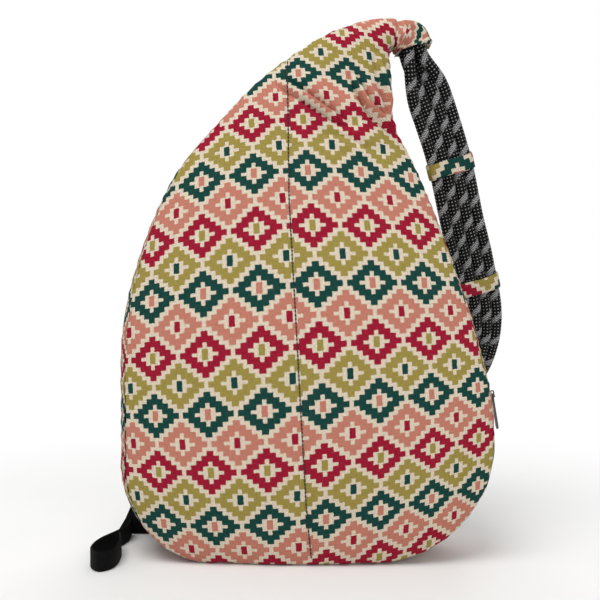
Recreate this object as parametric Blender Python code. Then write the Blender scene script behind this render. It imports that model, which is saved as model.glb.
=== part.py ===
"""Teardrop canvas sling bag with a strap of four parallel ropes.

Metres, +Z up. The front faces -Y, and the origin is the centre of the flat base.
"""

import math

import bmesh
import bpy
from mathutils import Matrix, Vector

# Body outline, seen from the front
LEFT_ARC_CENTRE = (0.160, 0.1417)
LEFT_ARC_RADIUS = 0.3085
LEFT_ARC_END = math.radians(61.0)
LEFT_CORNER_RADIUS = 0.084
RIGHT_CORNER_RADIUS = 0.104
RIGHT_SIDE_X = 0.148
RIGHT_CORNER_END = math.radians(13.0)
RIGHT_SIDE_RADIUS = 0.900
RIGHT_SIDE_TURN = math.radians(12.9)
NICK = (0.0655, 0.340)
PIVOT = (0.0675, 0.397)
CREST = (0.0690, 0.4245)
MOUTH_OUTER = (0.0958, 0.4033)
FOLD_RADIUS = 0.0040

# Depths, from the mid plane to the front and to the back
FULL_DEPTH = 0.056
BASE_DEPTH = 0.038
NECK_DEPTH = 0.024
MOUTH_DEPTH = 0.013
BASE_GUSSET_HALF = 0.030
GUSSET_HALF = 0.040
NECK_GUSSET_HALF = 0.013
GUSSET_CROWN_LEFT = 0.010
GUSSET_CROWN_RIGHT = 0.005

# Cloth
CANVAS = 0.0020
SEAM_GAP = 0.0008
LINING_GAP = 0.0010
BASE_SEAT = 0.0003

# Rope strap
ROPE_DIAMETER = 0.0088
ROPE_PITCH = 0.0095
KEEPER_WALL = 0.0012
KEEPER_HEIGHT = 0.0125
KEEPER_CLEARANCE = 0.0007
KEEPER_PLACES = (0.235, 0.475, 0.86)

# Webbing and buckle
WEBBING_WIDTH = 0.020
WEBBING_THICKNESS = 0.0015
BUCKLE_LENGTH = 0.034
BUCKLE_WIDTH = 0.0275
BUCKLE_THICKNESS = 0.0085
BUCKLE_WALL = 0.0016
BUCKLE_CLEARANCE = 0.0005
BAR_RADIUS = 0.0017
SOCKET_BAR_REACH = 0.0050
WEBBING_SEAT = 0.0009
WEBBING_LEAD = 0.0060
BINDING_LENGTH = 0.0286

# Zips
TAPE_WIDTH = 0.016
TAPE_THICKNESS = 0.0007
CHAIN_WIDTH = 0.0042
CHAIN_HEIGHT = 0.0014
SLIDER_LENGTH = 0.0075
SLIDER_WIDTH = 0.0072
SLIDER_HEIGHT = 0.0030
SLIDER_WALL = 0.0006
SLIDER_PLACE = 0.0080
BRIDGE_LENGTH = 0.0058
BRIDGE_WIDTH = 0.0018
BRIDGE_HEIGHT = 0.0028
BRIDGE_WALL = 0.0006
ZIP_CLEARANCE = 0.0003
TAPE_STAND_OFF = 0.0007
CHAIN_STOPS_SHORT = 0.0025
PULL_LENGTH = 0.029
PULL_WIDTH = 0.0055
PULL_THICKNESS = 0.0010
PULL_EYE_LENGTH = 0.0052
PULL_EYE_WIDTH = 0.0026
# Each zip stands back from the mid plane, and its slider rests near the lower end
LEFT_ZIP_DEPTH = 0.019
RIGHT_ZIP_DEPTH = 0.016
LEFT_ZIP_ANGLES = (math.radians(-0.5), math.radians(22.0))
RIGHT_ZIP_ANGLES = (RIGHT_CORNER_END - math.radians(0.8), RIGHT_CORNER_END + RIGHT_SIDE_TURN * 0.68)
RIGHT_PULL_LEAN = math.radians(-4.0)

BASE_THICKNESS = 0.0030
# The four cloth panels round the body, and the points across each
PANELS = (("front_panel", 15), ("side_band_right", 7), ("back_panel", 15), ("side_band_left", 7))
# Rings left empty above the packed lining, where the neck narrows and folds
CORE_STOPS_SHORT = 5
SLEEVE_START = 0.26
SLEEVE_POINTS = 24
RING_POINTS = 32
ZIP_STEPS = 20
ROUTE_STEPS = 24
BASE_RINGS = 7
SIDE_RINGS = 18
NECK_RINGS = 8
# Shares of the right side that the long arc and the nick take
ARC_SHARE = 0.76
NICK_SHARE = 0.85
# Share of the neck fold that ends at its crest
CREST_SHARE = 0.5
NECK_ARCH = 0.004
MOUTH_BULGE = (0.006, 0.0045)


def clear_scene():
    for thing in list(bpy.data.objects):
        bpy.data.objects.remove(thing)


def material(name, colour, roughness, metallic=0.0):
    made = bpy.data.materials.new(name)
    made.use_nodes = True
    shader = made.node_tree.nodes["Principled BSDF"]
    shader.inputs["Base Color"].default_value = (*colour, 1.0)
    shader.inputs["Roughness"].default_value = roughness
    shader.inputs["Metallic"].default_value = metallic
    made.diffuse_color = (*colour, 1.0)
    return made


def object_from_bmesh(name, bm, surface, smooth=True):
    bmesh.ops.recalc_face_normals(bm, faces=bm.faces)
    mesh = bpy.data.meshes.new(name)
    bm.to_mesh(mesh)
    bm.free()
    if smooth:
        mesh.shade_smooth()
        mesh.set_sharp_from_angle(angle=math.radians(40))
    mesh.materials.append(surface)
    made = bpy.data.objects.new(name, mesh)
    bpy.context.collection.objects.link(made)
    return made


def arc_point(centre, radius, angle):
    return Vector((centre[0] + radius * math.cos(angle), centre[1] + radius * math.sin(angle)))


def blend(a, b, t):
    return a + (b - a) * t


def ease(t):
    return t * t * (3 - 2 * t)


def left_side(s):
    """The left outline from the top of its corner to the start of the neck fold."""
    x = LEFT_ARC_CENTRE[0] - LEFT_ARC_RADIUS
    straight = LEFT_ARC_CENTRE[1] - LEFT_CORNER_RADIUS
    along = s * (straight + LEFT_ARC_RADIUS * LEFT_ARC_END)
    if along < straight:
        return Vector((x, LEFT_CORNER_RADIUS + along))
    angle = (along - straight) / LEFT_ARC_RADIUS
    return arc_point(LEFT_ARC_CENTRE, LEFT_ARC_RADIUS, math.pi - angle)


def right_side_centre():
    """The long right arc carries on from the corner's, so both centres lie on one line."""
    corner = (RIGHT_SIDE_X - RIGHT_CORNER_RADIUS, RIGHT_CORNER_RADIUS)
    return arc_point(corner, RIGHT_CORNER_RADIUS - RIGHT_SIDE_RADIUS, RIGHT_CORNER_END)


def right_side(s):
    """The right outline from the end of its corner to the nick, then up the folded edge to the pivot."""
    centre = right_side_centre()
    end = arc_point(centre, RIGHT_SIDE_RADIUS, RIGHT_CORNER_END + RIGHT_SIDE_TURN)
    if s < ARC_SHARE:
        return arc_point(centre, RIGHT_SIDE_RADIUS, RIGHT_CORNER_END + RIGHT_SIDE_TURN * s / ARC_SHARE)
    if s < NICK_SHARE:
        return blend(end, Vector(NICK), (s - ARC_SHARE) / (NICK_SHARE - ARC_SHARE))
    return blend(Vector(NICK), Vector(PIVOT), (s - NICK_SHARE) / (1 - NICK_SHARE))


def sample_rings():
    """Left and right end, depth and gusset of every ring, from the base to the sleeve's mouth."""
    left_x = LEFT_ARC_CENTRE[0] - LEFT_ARC_RADIUS + LEFT_CORNER_RADIUS
    right_x = RIGHT_SIDE_X - RIGHT_CORNER_RADIUS
    rings = []
    for i in range(BASE_RINGS):
        turn = math.pi / 2 * i / BASE_RINGS
        left = arc_point((left_x, LEFT_CORNER_RADIUS), LEFT_CORNER_RADIUS, -math.pi / 2 - turn)
        right_turn = turn * (1 + RIGHT_CORNER_END / (math.pi / 2)) - math.pi / 2
        right = arc_point((right_x, RIGHT_CORNER_RADIUS), RIGHT_CORNER_RADIUS, right_turn)
        swell = math.sin(turn)
        half = blend(BASE_GUSSET_HALF, GUSSET_HALF, swell)
        rings.append((left, right, blend(BASE_DEPTH, FULL_DEPTH, swell), half, swell))
    for i in range(SIDE_RINGS):
        s = i / SIDE_RINGS
        depth = blend(FULL_DEPTH, NECK_DEPTH, ease(s) ** 1.25)
        half = blend(GUSSET_HALF, NECK_GUSSET_HALF, ease(s))
        rings.append((left_side(s), right_side(s), depth, half, 1 - ease(s)))
    start = left_side(1)
    for i in range(NECK_RINGS + 1):
        t = i / NECK_RINGS
        if t < CREST_SHARE:
            outer = start.lerp(Vector(CREST), t / CREST_SHARE)
            outer.y += NECK_ARCH * math.sin(math.pi * t / CREST_SHARE)
        else:
            turn = (t - CREST_SHARE) / (1 - CREST_SHARE)
            outer = Vector(CREST).lerp(Vector(MOUTH_OUTER), turn)
            outer += Vector(MOUTH_BULGE) * math.sin(math.pi * turn)
        depth = blend(NECK_DEPTH, MOUTH_DEPTH, t)
        half = blend(NECK_GUSSET_HALF, MOUTH_DEPTH * 0.6, t)
        inner = Vector(PIVOT) + (outer - Vector(PIVOT)).normalized() * FOLD_RADIUS
        rings.append((outer, inner, depth, half, 0.0))
    return rings


def between_rings(a, b, t):
    return tuple(blend(x, y, t) for x, y in zip(a, b))


def section_point(ring, share):
    """A point of one ring's section; share runs 0 to 4: front, right gusset, back, left gusset."""
    left, right, depth, half, swell = ring
    centre = (left + right) / 2
    lateral = right - left
    reach = lateral.length / 2
    lateral.normalize()
    crown_left = min(GUSSET_CROWN_LEFT * swell, reach * 0.3)
    crown_right = min(GUSSET_CROWN_RIGHT * swell, reach * 0.3)
    side = int(share) % 4
    t = share - int(share)
    if side in (0, 2):
        q = -math.cos(math.pi * t)
        dome = (1 - abs(q) ** 2.4) ** (1 / 1.7)
        y = -(half + (depth - half) * dome)
        across = blend(-(reach - crown_left), reach - crown_right, (q + 1) / 2)
        if side == 2:
            y = -y
            across = blend(reach - crown_right, -(reach - crown_left), (q + 1) / 2)
    else:
        y = blend(-half, half, t)
        crown = crown_right if side == 1 else crown_left
        across = reach - crown * (y / half) ** 2
        if side == 3:
            y = -y
            across = -across
    place = centre + lateral * across
    return Vector((place.x, y, place.y))


def outward(rings, index, share):
    """The skin's normal at a ring; at a seam it halves the angle between the two panels."""
    step = 0.02
    here = section_point(rings[index], share)
    before = (here - section_point(rings[index], (share - step) % 4)).normalized()
    after = (section_point(rings[index], (share + step) % 4) - here).normalized()
    lower = section_point(rings[max(0, index - 1)], share)
    upper = section_point(rings[min(len(rings) - 1, index + 1)], share)
    return (before + after).cross(upper - lower).normalized()


def skin_rows(rings, shares, inward):
    rows = []
    for index, ring in enumerate(rings):
        rows.append([section_point(ring, share) - outward(rings, index, share) * inward for share in shares])
    return rows


def trimmed(row, other):
    """A row with its ends pulled in by half a seam gap, measured on the other row."""
    first = (other[1] - other[0]).normalized() * SEAM_GAP / 2
    last = (other[-2] - other[-1]).normalized() * SEAM_GAP / 2
    return [row[0] + first, *row[1:-1], row[-1] + last]


def shell(name, rings, side, count, surface):
    """A cloth panel between two seams, of the canvas's thickness, mitred where it meets its neighbours."""
    shares = [side + i / (count - 1) for i in range(count)]
    outer = skin_rows(rings, shares, 0)
    inner = skin_rows(rings, shares, CANVAS)
    bm = bmesh.new()
    around = []
    for out_row, in_row in zip(outer, inner):
        loop = trimmed(out_row, out_row) + list(reversed(trimmed(in_row, out_row)))
        around.append([bm.verts.new(point) for point in loop])
    close_rows(bm, around, cap=False)
    for loop in (around[0], around[-1]):
        for i in range(count - 1):
            bm.faces.new((loop[i], loop[i + 1], loop[-2 - i], loop[-1 - i]))
    return object_from_bmesh(name, bm, surface)


def close_rows(bm, rows, cap=True):
    """Faces between rings of vertices, with the two ends filled."""
    for low, high in zip(rows, rows[1:]):
        for i in range(len(low)):
            j = (i + 1) % len(low)
            bm.faces.new((low[i], low[j], high[j], high[i]))
    if cap:
        bm.faces.new(rows[0])
        bm.faces.new(rows[-1])


def closed_core(name, rings, surface):
    """The packed lining, one closed body just inside the panels."""
    shares = [4 * i / RING_POINTS for i in range(RING_POINTS)]
    rows = skin_rows(rings, shares, CANVAS + LINING_GAP)
    for point in rows[0]:
        point.z = BASE_THICKNESS + BASE_SEAT
    bm = bmesh.new()
    close_rows(bm, [[bm.verts.new(point) for point in row] for row in rows])
    return object_from_bmesh(name, bm, surface)


def smooth_route(points, count):
    """Evenly spaced points on a Catmull-Rom curve through the route's own points."""
    points = [Vector(point) for point in points]
    points = [points[0] * 2 - points[1], *points, points[-1] * 2 - points[-2]]
    dense = []
    for a, b, c, d in zip(points, points[1:], points[2:], points[3:]):
        square = 2 * a - 5 * b + 4 * c - d
        cube = 3 * b - a - 3 * c + d
        for step in range(ROUTE_STEPS):
            t = step / ROUTE_STEPS
            dense.append(0.5 * (2 * b + (c - a) * t + square * t**2 + cube * t**3))
    dense.append(points[-2])
    lengths = [0.0]
    for a, b in zip(dense, dense[1:]):
        lengths.append(lengths[-1] + (b - a).length)
    spaced = []
    index = 0
    for i in range(count):
        target = lengths[-1] * i / (count - 1)
        while index < len(dense) - 2 and lengths[index + 1] < target:
            index += 1
        span = lengths[index + 1] - lengths[index]
        spaced.append(dense[index].lerp(dense[index + 1], min(1.0, (target - lengths[index]) / span)))
    return spaced


def directions(points):
    result = []
    for i in range(len(points)):
        before = points[max(0, i - 1)]
        after = points[min(len(points) - 1, i + 1)]
        result.append((after - before).normalized())
    return result


# Centreline of the rope strap, from the sleeve down behind the bag to the rope ends
STRAP_ROUTE = (
    (0.0822, 0.000, 0.4030),
    (0.0870, 0.002, 0.3880),
    (0.0960, 0.008, 0.3690),
    (0.1060, 0.015, 0.3450),
    (0.1175, 0.022, 0.3110),
    (0.1290, 0.033, 0.2660),
    (0.1400, 0.045, 0.2300),
    (0.1495, 0.056, 0.1880),
    (0.1480, 0.066, 0.1540),
    (0.1340, 0.073, 0.1210),
    (0.1050, 0.077, 0.0920),
    (0.0650, 0.078, 0.0690),
    (0.0250, 0.077, 0.0540),
)
ROPE_COUNT = 4
ROPE_POINTS = 30
# Inside the sleeve the ropes are gathered two by two; this far along they lie in one row
ROPE_SPREAD_SHARE = 0.13


def strap_frames(count):
    """Places and crosswise directions of the strap; its flat turns to lie against the back of the bag."""
    spine = smooth_route(STRAP_ROUTE, count)
    along = directions(spine)
    frames = []
    for i, (place, way) in enumerate(zip(spine, along)):
        s = i / (count - 1)
        flat = Vector((1, 0.25, 0)).lerp(Vector((0.35, 0.1, 1)), ease(min(1, max(0, (s - 0.40) / 0.48))))
        across = (flat - way * flat.dot(way)).normalized()
        frames.append((place, way, across, across.cross(way)))
    return frames


def rope(index, surface):
    frames = strap_frames(ROPE_POINTS)
    curve = bpy.data.curves.new(f"rope_{index + 1}", "CURVE")
    curve.dimensions = "3D"
    curve.bevel_depth = ROPE_DIAMETER / 2
    curve.bevel_resolution = 2
    curve.use_fill_caps = True
    curve.materials.append(surface)
    spline = curve.splines.new("POLY")
    spline.points.add(len(frames) - 1)
    for i, (place, way, across, out) in enumerate(frames):
        spread = ease(min(1, i / (len(frames) - 1) / ROPE_SPREAD_SHARE))
        row_place = (index - (ROPE_COUNT - 1) / 2) * ROPE_PITCH
        gathered_place = math.copysign(ROPE_PITCH / 2, row_place)
        depth = ROPE_PITCH / 2 * (-1 if index in (0, ROPE_COUNT - 1) else 1) * math.cos(spread * math.pi / 2)
        lateral = blend(gathered_place, row_place, math.sin(spread * math.pi / 2))
        spline.points[i].co = (*(place + across * lateral + out * depth), 1.0)
    made = bpy.data.objects.new(f"rope_{index + 1}", curve)
    bpy.context.collection.objects.link(made)
    return made


def obround(half_width, half_thickness, corner_points=5):
    """Outline of a flat band with round ends."""
    straight = half_width - half_thickness
    points = []
    for side in (1, -1):
        for i in range(corner_points + 1):
            angle = math.pi * i / corner_points - math.pi / 2
            if side < 0:
                angle += math.pi
            x = side * straight + half_thickness * math.cos(angle)
            points.append((x, half_thickness * math.sin(angle)))
    return points


def band(name, frame, height, half_width, half_thickness, surface):
    """A sewn band: an open tube of obround section round the ropes."""
    place, way, across, out = frame
    bm = bmesh.new()
    loops = []
    for grow, end in ((0, -1), (0, 1), (KEEPER_WALL, 1), (KEEPER_WALL, -1)):
        outline = obround(half_width + grow, half_thickness + grow)
        centre = place + way * end * height / 2
        loops.append([bm.verts.new(centre + across * x + out * y) for x, y in outline])
    close_rows(bm, [*loops, loops[0]], cap=False)
    return object_from_bmesh(name, bm, surface)


def keeper(index, share, surface):
    count = 241
    place, way, across, out = strap_frames(count)[round(share * (count - 1))]
    half_width = ROPE_PITCH * (ROPE_COUNT - 1) / 2 + ROPE_DIAMETER / 2 + KEEPER_CLEARANCE
    half_thickness = ROPE_DIAMETER / 2 + KEEPER_CLEARANCE
    frame = (place, way, across, out)
    return band(f"keeper_{index + 1}", frame, KEEPER_HEIGHT, half_width, half_thickness, surface)


def ribbon(name, frames, width, surface):
    """A strip of webbing along frames of place and crosswise direction."""
    bm = bmesh.new()
    rows = []
    for place, way, across, out in frames:
        side = across * width / 2
        face = out * WEBBING_THICKNESS / 2
        corners = ((-1, -1), (1, -1), (1, 1), (-1, 1))
        rows.append([bm.verts.new(place + side * x + face * y) for x, y in corners])
    close_rows(bm, rows)
    return object_from_bmesh(name, bm, surface)


def framed_route(points, count, flat):
    spine = smooth_route(points, count)
    frames = []
    for place, way in zip(spine, directions(spine)):
        across = (Vector(flat) - way * Vector(flat).dot(way)).normalized()
        frames.append((place, way, across, across.cross(way)))
    return frames


def box(name, size, surface, matrix, bevel=0.0):
    bm = bmesh.new()
    bmesh.ops.create_cube(bm, size=1.0, matrix=Matrix.Diagonal((*size, 1.0)))
    made = object_from_bmesh(name, bm, surface, smooth=False)
    made.matrix_world = matrix
    if bevel:
        edge = made.modifiers.new("Edge", "BEVEL")
        edge.width = bevel
        edge.segments = 2
    return made


def extruded(name, outline, depth, surface, matrix, bevel=0.0):
    """A flat outline in X and Y, extruded by depth about its mid plane."""
    bm = bmesh.new()
    face = bm.faces.new([bm.verts.new((x, y, -depth / 2)) for x, y in outline])
    grown = bmesh.ops.extrude_face_region(bm, geom=[face])
    moved = [item for item in grown["geom"] if isinstance(item, bmesh.types.BMVert)]
    bmesh.ops.translate(bm, verts=moved, vec=(0, 0, depth))
    made = object_from_bmesh(name, bm, surface, smooth=False)
    made.matrix_world = matrix
    if bevel:
        edge = made.modifiers.new("Edge", "BEVEL")
        edge.width = bevel
        edge.segments = 1
        edge.limit_method = "ANGLE"
    return made


def combine(base, other, operation):
    step = base.modifiers.new(operation.title(), "BOOLEAN")
    step.operation = operation
    step.object = other
    step.solver = "EXACT"
    other.hide_render = True
    other.display_type = "WIRE"
    return base


def buckle_matrix(centre):
    """Local X along the strap, local Y up, local Z towards the front."""
    return Matrix.Translation(centre) @ Matrix.Rotation(math.pi / 2, 4, "X")


# The buckle lies behind the bag; the socket's mouth is its reference point
BUCKLE_MOUTH = Vector((-0.066, 0.0745, 0.0440))
PLUG_BASE_LENGTH = 0.0075
PLUG_LADDER_END = 0.0200
LADDER_SLOT = 0.0034
PRONG_REACH = 0.0210
BARB_START = 0.0145
CAVITY_DEPTH = 0.0240


def buckle_socket(surface):
    half = BUCKLE_WIDTH / 2
    waist = half - 0.0012
    bar_end = BUCKLE_LENGTH + SOCKET_BAR_REACH
    upper = (
        (0.0, half - 0.0006),
        (-0.0080, half),
        (-0.0220, waist),
        (-BUCKLE_LENGTH + 0.0050, half - 0.0022),
        (-bar_end, WEBBING_WIDTH / 2 + BUCKLE_WALL * 1.4),
    )
    outline = [*upper, *[(x, -y) for x, y in reversed(upper)]]
    place = buckle_matrix(BUCKLE_MOUTH)
    made = extruded("buckle_socket", outline, BUCKLE_THICKNESS, surface, place, bevel=0.0008)
    inside = (CAVITY_DEPTH * 2, BUCKLE_WIDTH - 2 * BUCKLE_WALL, BUCKLE_THICKNESS - 2 * BUCKLE_WALL)
    cavity = box("socket_cavity", inside, surface, place)
    window = (0.0085, BUCKLE_WIDTH * 2, BUCKLE_THICKNESS - 2.6 * BUCKLE_WALL)
    at_barbs = place @ Matrix.Translation((-BARB_START - 0.0030, 0, 0))
    windows = box("socket_windows", window, surface, at_barbs)
    slot_size = (LADDER_SLOT, WEBBING_WIDTH + 2 * BUCKLE_CLEARANCE, BUCKLE_THICKNESS * 2)
    slot = box("socket_slot", slot_size, surface, place @ Matrix.Translation((-bar_end + 0.0042, 0, 0)))
    slimmer = (0.012, BUCKLE_WIDTH * 2, BUCKLE_THICKNESS)
    for side in (-1, 1):
        shift = (-bar_end - 0.0002, 0, side * (BUCKLE_THICKNESS / 2 + 0.0022))
        at_bar = place @ Matrix.Translation(shift)
        combine(made, box(f"socket_slim_{side}", slimmer, surface, at_bar), "DIFFERENCE")
    for cutter in (cavity, windows, slot):
        combine(made, cutter, "DIFFERENCE")
    return made


def buckle_plug(surface):
    half = BUCKLE_WIDTH / 2
    prong_outer = half - BUCKLE_WALL - BUCKLE_CLEARANCE
    start = BUCKLE_CLEARANCE
    upper = (
        (-0.0160, 0.0013),
        (-0.0010, 0.0017),
        (-0.0010, 0.0058),
        (-0.0165, 0.0076),
        (-PRONG_REACH, 0.0094),
        (-PRONG_REACH + 0.0015, prong_outer),
        (-BARB_START, prong_outer),
        (-BARB_START, prong_outer - 0.0016),
        (start - 0.0004, prong_outer - 0.0008),
        (start, half - 0.0006),
        (PLUG_BASE_LENGTH, half - 0.0003),
        (PLUG_LADDER_END, WEBBING_WIDTH / 2 + BUCKLE_WALL * 1.3),
    )
    outline = [*upper, *[(x, -y) for x, y in reversed(upper)]]
    place = buckle_matrix(BUCKLE_MOUTH)
    thickness = BUCKLE_THICKNESS - 2 * BUCKLE_WALL - 2 * BUCKLE_CLEARANCE
    made = extruded("buckle_plug", outline, thickness, surface, place, bevel=0.0004)
    base_size = (PLUG_BASE_LENGTH - start, BUCKLE_WIDTH - 0.0012, BUCKLE_THICKNESS)
    middle = Matrix.Translation(((PLUG_BASE_LENGTH + start) / 2, 0, 0))
    combine(made, box("plug_base", base_size, surface, place @ middle, bevel=0.0009), "UNION")
    slot_size = (LADDER_SLOT, WEBBING_WIDTH + 2 * BUCKLE_CLEARANCE, BUCKLE_THICKNESS * 2)
    for index in range(2):
        along = PLUG_BASE_LENGTH + 0.0026 + index * (LADDER_SLOT + 2 * BAR_RADIUS - 0.0006)
        slot = box(f"plug_slot_{index}", slot_size, surface, place @ Matrix.Translation((along, 0, 0)))
        combine(made, slot, "DIFFERENCE")
    return made


def strap_webbing(surface):
    """The black webbing from the rope ends to the outer bar of the plug's ladder."""
    end = BUCKLE_MOUTH + Vector((PLUG_LADDER_END + WEBBING_SEAT, 0, 0))
    place, way = strap_frames(241)[-1][:2]
    start = place + way * (BINDING_LENGTH + WEBBING_SEAT)
    points = (start, start + way * WEBBING_LEAD, end + Vector((WEBBING_LEAD, 0, 0)), end)
    return ribbon("strap_webbing", framed_route(points, 9, (0, 0, 1)), WEBBING_WIDTH, surface)


def rope_binding(surface):
    """The sewn cover that closes the four rope ends, a flat block of folded canvas."""
    place, way, across, out = strap_frames(241)[-1]
    half_width = ROPE_PITCH * (ROPE_COUNT - 1) / 2 + ROPE_DIAMETER / 2
    profile = ((0.014, 1.0, 0.0050), (0.35, 0.98, 0.0048), (0.665, 0.72, 0.0034), (1.0, 0.60, 0.0020))
    bm = bmesh.new()
    rows = []
    for along, share, thick in profile:
        centre = place + way * along * BINDING_LENGTH
        outline = obround(half_width * share, thick)
        rows.append([bm.verts.new(centre + across * x + out * y) for x, y in outline])
    close_rows(bm, rows)
    return object_from_bmesh("rope_end_binding", bm, surface)


# Anchor tab: a wing of folded webbing sewn into the lower left seam, measured from the bag's left edge
LEFT_EDGE = LEFT_ARC_CENTRE[0] - LEFT_ARC_RADIUS
TAB_OUTLINE = ((0.0060, 0.0430), (-0.0065, 0.0145), (-0.0145, 0.0010), (0.0325, 0.0010), (0.0195, 0.0200))
TAB_DEPTH_PLACE = 0.0400
TAB_THICKNESS = 0.0030
# Where the anchor webbing lies flat on the back of the tab, measured from the left edge
TAB_SEAM = ((0.0115, 0.0170), (0.0035, 0.0150))


def anchor_tab(surface):
    place = buckle_matrix(Vector((0, TAB_DEPTH_PLACE, 0)))
    outline = [(LEFT_EDGE + x, z) for x, z in TAB_OUTLINE]
    return extruded("anchor_tab", outline, TAB_THICKNESS, surface, place)


def anchor_webbing(surface):
    """Webbing from the socket's bar round to the back of the anchor tab."""
    bar = BUCKLE_MOUTH + Vector((-BUCKLE_LENGTH - SOCKET_BAR_REACH - WEBBING_SEAT, 0, 0))
    tab_back = TAB_DEPTH_PLACE + TAB_THICKNESS / 2 + WEBBING_THICKNESS / 2 + SEAM_GAP
    points = (
        bar,
        bar - Vector((WEBBING_LEAD, 0, 0)),
        (LEFT_EDGE + 0.0305, tab_back + 0.0277, 0.0390),
        (LEFT_EDGE + 0.0245, tab_back + 0.0177, 0.0310),
        (LEFT_EDGE + 0.0195, tab_back + 0.0045, 0.0215),
        *[(LEFT_EDGE + x, tab_back, z) for x, z in TAB_SEAM],
    )
    return ribbon("anchor_webbing", framed_route(points, 17, (0, 0, 1)), WEBBING_WIDTH, surface)


TAIL_HEIGHT = 0.0150
TAIL_LIFT = 0.0002
# The tail's loop, seen from above and measured from the left edge; it comes back on itself
TAIL_ROUTE = (
    (-0.0015, 0.0381),
    (0.0000, 0.0200),
    (-0.0045, 0.0020),
    (-0.0135, -0.0220),
    (-0.0145, -0.0440),
    (-0.0055, -0.0570),
    (0.0035, -0.0470),
    (0.0030, -0.0230),
    (-0.0020, -0.0030),
)


def webbing_tail(surface):
    middle = TAIL_HEIGHT / 2 + TAIL_LIFT
    frames = framed_route([(LEFT_EDGE + x, y, middle) for x, y in TAIL_ROUTE], 34, (0, 0, 1))
    return ribbon("webbing_tail", frames, TAIL_HEIGHT, surface)


class ZipPath:
    """A side's zip: an arc about the side's own centre, at one depth, tilted to lie along the gusset."""

    def __init__(self, name, centre, radius, sign, depth, crown, start, end):
        self.name = name
        self.centre = Vector((centre[0], depth, centre[1]))
        self.radius = radius - crown * (depth / GUSSET_HALF) ** 2
        self.tilt = math.atan(2 * crown * depth / GUSSET_HALF**2)
        self.sign = sign
        self.start = start
        self.end = end

    def frame(self, angle):
        """Place on the gusset, direction of travel upwards, crosswise and outward directions."""
        radial = Vector((self.sign * math.cos(angle), 0, math.sin(angle)))
        way = Vector((-self.sign * math.sin(angle), 0, math.cos(angle)))
        back = Vector((0, 1, 0))
        across = back * math.cos(self.tilt) - radial * math.sin(self.tilt)
        out = radial * math.cos(self.tilt) + back * math.sin(self.tilt)
        return self.centre + radial * self.radius, way, across, out


def arc_strip(name, path, width, low, high, start, end, surface):
    """A strip of rectangular section along the zip's arc, between two heights over the gusset."""
    bm = bmesh.new()
    rows = []
    for i in range(ZIP_STEPS + 1):
        place, way, across, out = path.frame(blend(start, end, i / ZIP_STEPS))
        side = across * width / 2
        corners = ((low, -1), (low, 1), (high, 1), (high, -1))
        rows.append([bm.verts.new(place + out * height + side * s) for height, s in corners])
    close_rows(bm, rows)
    return object_from_bmesh(name, bm, surface)


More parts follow.
